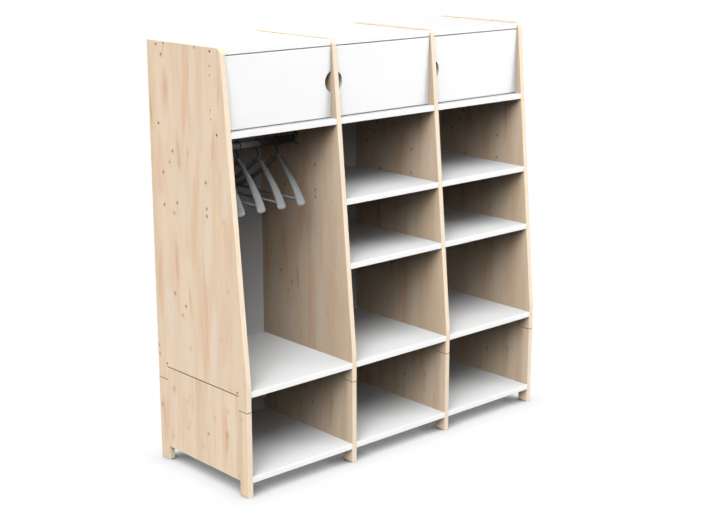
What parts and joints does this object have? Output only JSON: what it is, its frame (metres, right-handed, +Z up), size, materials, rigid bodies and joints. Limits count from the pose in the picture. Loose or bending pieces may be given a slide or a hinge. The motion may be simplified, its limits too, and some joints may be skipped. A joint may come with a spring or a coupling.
{
  "type": "wardrobe",
  "caption": "Freestanding wardrobe with sloping wooden side panels, white shelves, small inset doors at the top and an open bay with a hanging rail and hangers.",
  "frame": {"origin": "on the floor, at the centre of the bounding box's bottom", "axes": "+Z up, +Y from the open front towards the back, +X along the width, from the hanging bay towards the shelves"},
  "size_m": [1.5, 0.54, 1.58],
  "materials": {
    "spruce": "clear lacquered, satin",
    "white_board": "chipboard with white melamine faces, fine matt",
    "white_back": "fibreboard painted white, matt",
    "hinge_steel": "nickel plated",
    "rail_steel": "dark polished",
    "socket_plastic": "moulded, matt",
    "hook_steel": "dark polished wire",
    "hanger_plastic": "moulded, satin"
  },
  "bodies": {
    "carcass": {"base_panel_left": "spruce", "upper_panel_left": "spruce", "base_panel_divider_1": "spruce", "upper_panel_divider_1": "spruce", "base_panel_divider_2": "spruce", "upper_panel_divider_2": "spruce", "base_panel_right": "spruce", "upper_panel_right": "spruce", "bottom_board_left": "white_board", "bottom_board_middle": "white_board", "bottom_board_right": "white_board", "joint_board_left": "white_board", "joint_board_middle": "white_board", "joint_board_right": "white_board", "lower_shelf_middle": "white_board", "lower_shelf_right": "white_board", "upper_shelf_middle": "white_board", "upper_shelf_right": "white_board", "door_shelf_left": "white_board", "door_shelf_middle": "white_board", "door_shelf_right": "white_board", "top_board_left": "white_board", "top_board_middle": "white_board", "top_board_right": "white_board", "base_back_left": "white_back", "base_back_middle": "white_back", "base_back_right": "white_back", "upper_back_left": "white_back", "upper_back_middle": "white_back", "upper_back_right": "white_back", "hinge_arm_left_lower": "hinge_steel", "hinge_arm_left_upper": "hinge_steel", "hinge_arm_middle_lower": "hinge_steel", "hinge_arm_middle_upper": "hinge_steel", "hinge_arm_right_lower": "hinge_steel", "hinge_arm_right_upper": "hinge_steel", "door_stop_left": "hinge_steel", "door_stop_middle": "hinge_steel", "door_stop_right": "hinge_steel", "hanging_rail": "rail_steel", "rail_socket_left": "socket_plastic", "rail_socket_right": "socket_plastic"},
    "door_left": {"door_left": "white_board", "hinge_cup_left_lower": "hinge_steel", "hinge_cup_left_upper": "hinge_steel"},
    "door_middle": {"door_middle": "white_board", "hinge_cup_middle_lower": "hinge_steel", "hinge_cup_middle_upper": "hinge_steel"},
    "door_right": {"door_right": "white_board", "hinge_cup_right_lower": "hinge_steel", "hinge_cup_right_upper": "hinge_steel"},
    "hanger_1_hook": {"hanger_1_hook": "hook_steel"},
    "hanger_1_body": {"hanger_1_body": "hanger_plastic"},
    "hanger_2_hook": {"hanger_2_hook": "hook_steel"},
    "hanger_2_body": {"hanger_2_body": "hanger_plastic"},
    "hanger_3_hook": {"hanger_3_hook": "hook_steel"},
    "hanger_3_body": {"hanger_3_body": "hanger_plastic"},
    "hanger_4_hook": {"hanger_4_hook": "hook_steel"},
    "hanger_4_body": {"hanger_4_body": "hanger_plastic"}
  },
  "joints": [
    {"name": "door_left_hinge", "type": "hinge", "parent": "carcass", "child": "door_left", "pos_m": [-0.727, -0.159, 1.4265], "axis": [0, 0, -1], "range_deg": [0, 90]},
    {"name": "door_middle_hinge", "type": "hinge", "parent": "carcass", "child": "door_middle", "pos_m": [0.234, -0.159, 1.4265], "axis": [0, 0, 1], "range_deg": [0, 90]},
    {"name": "door_right_hinge", "type": "hinge", "parent": "carcass", "child": "door_right", "pos_m": [0.727, -0.159, 1.4265], "axis": [0, 0, 1], "range_deg": [0, 90]},
    {"name": "hanger_1_slide", "type": "slide", "parent": "carcass", "child": "hanger_1_hook", "axis": [1, 0, 0], "range_m": [-0.008, 0.04]},
    {"name": "hanger_1_swivel", "type": "hinge", "parent": "hanger_1_hook", "child": "hanger_1_body", "pos_m": [-0.622, 0.04, 1.14], "axis": [0, 0, 1], "range_deg": [-6, 9]},
    {"name": "hanger_2_slide", "type": "slide", "parent": "carcass", "child": "hanger_2_hook", "axis": [1, 0, 0], "range_m": [-0.04, 0.04]},
    {"name": "hanger_2_swivel", "type": "hinge", "parent": "hanger_2_hook", "child": "hanger_2_body", "pos_m": [-0.5316, 0.04, 1.14], "axis": [0, 0, 1], "range_deg": [-11, 11]},
    {"name": "hanger_3_slide", "type": "slide", "parent": "carcass", "child": "hanger_3_hook", "axis": [1, 0, 0], "range_m": [-0.04, 0.04]},
    {"name": "hanger_3_swivel", "type": "hinge", "parent": "hanger_3_hook", "child": "hanger_3_body", "pos_m": [-0.4412, 0.04, 1.14], "axis": [0, 0, 1], "range_deg": [-11, 11]},
    {"name": "hanger_4_slide", "type": "slide", "parent": "carcass", "child": "hanger_4_hook", "axis": [1, 0, 0], "range_m": [-0.04, 0.04]},
    {"name": "hanger_4_swivel", "type": "hinge", "parent": "hanger_4_hook", "child": "hanger_4_body", "pos_m": [-0.3508, 0.04, 1.14], "axis": [0, 0, 1], "range_deg": [-11, 11]}
  ]
}
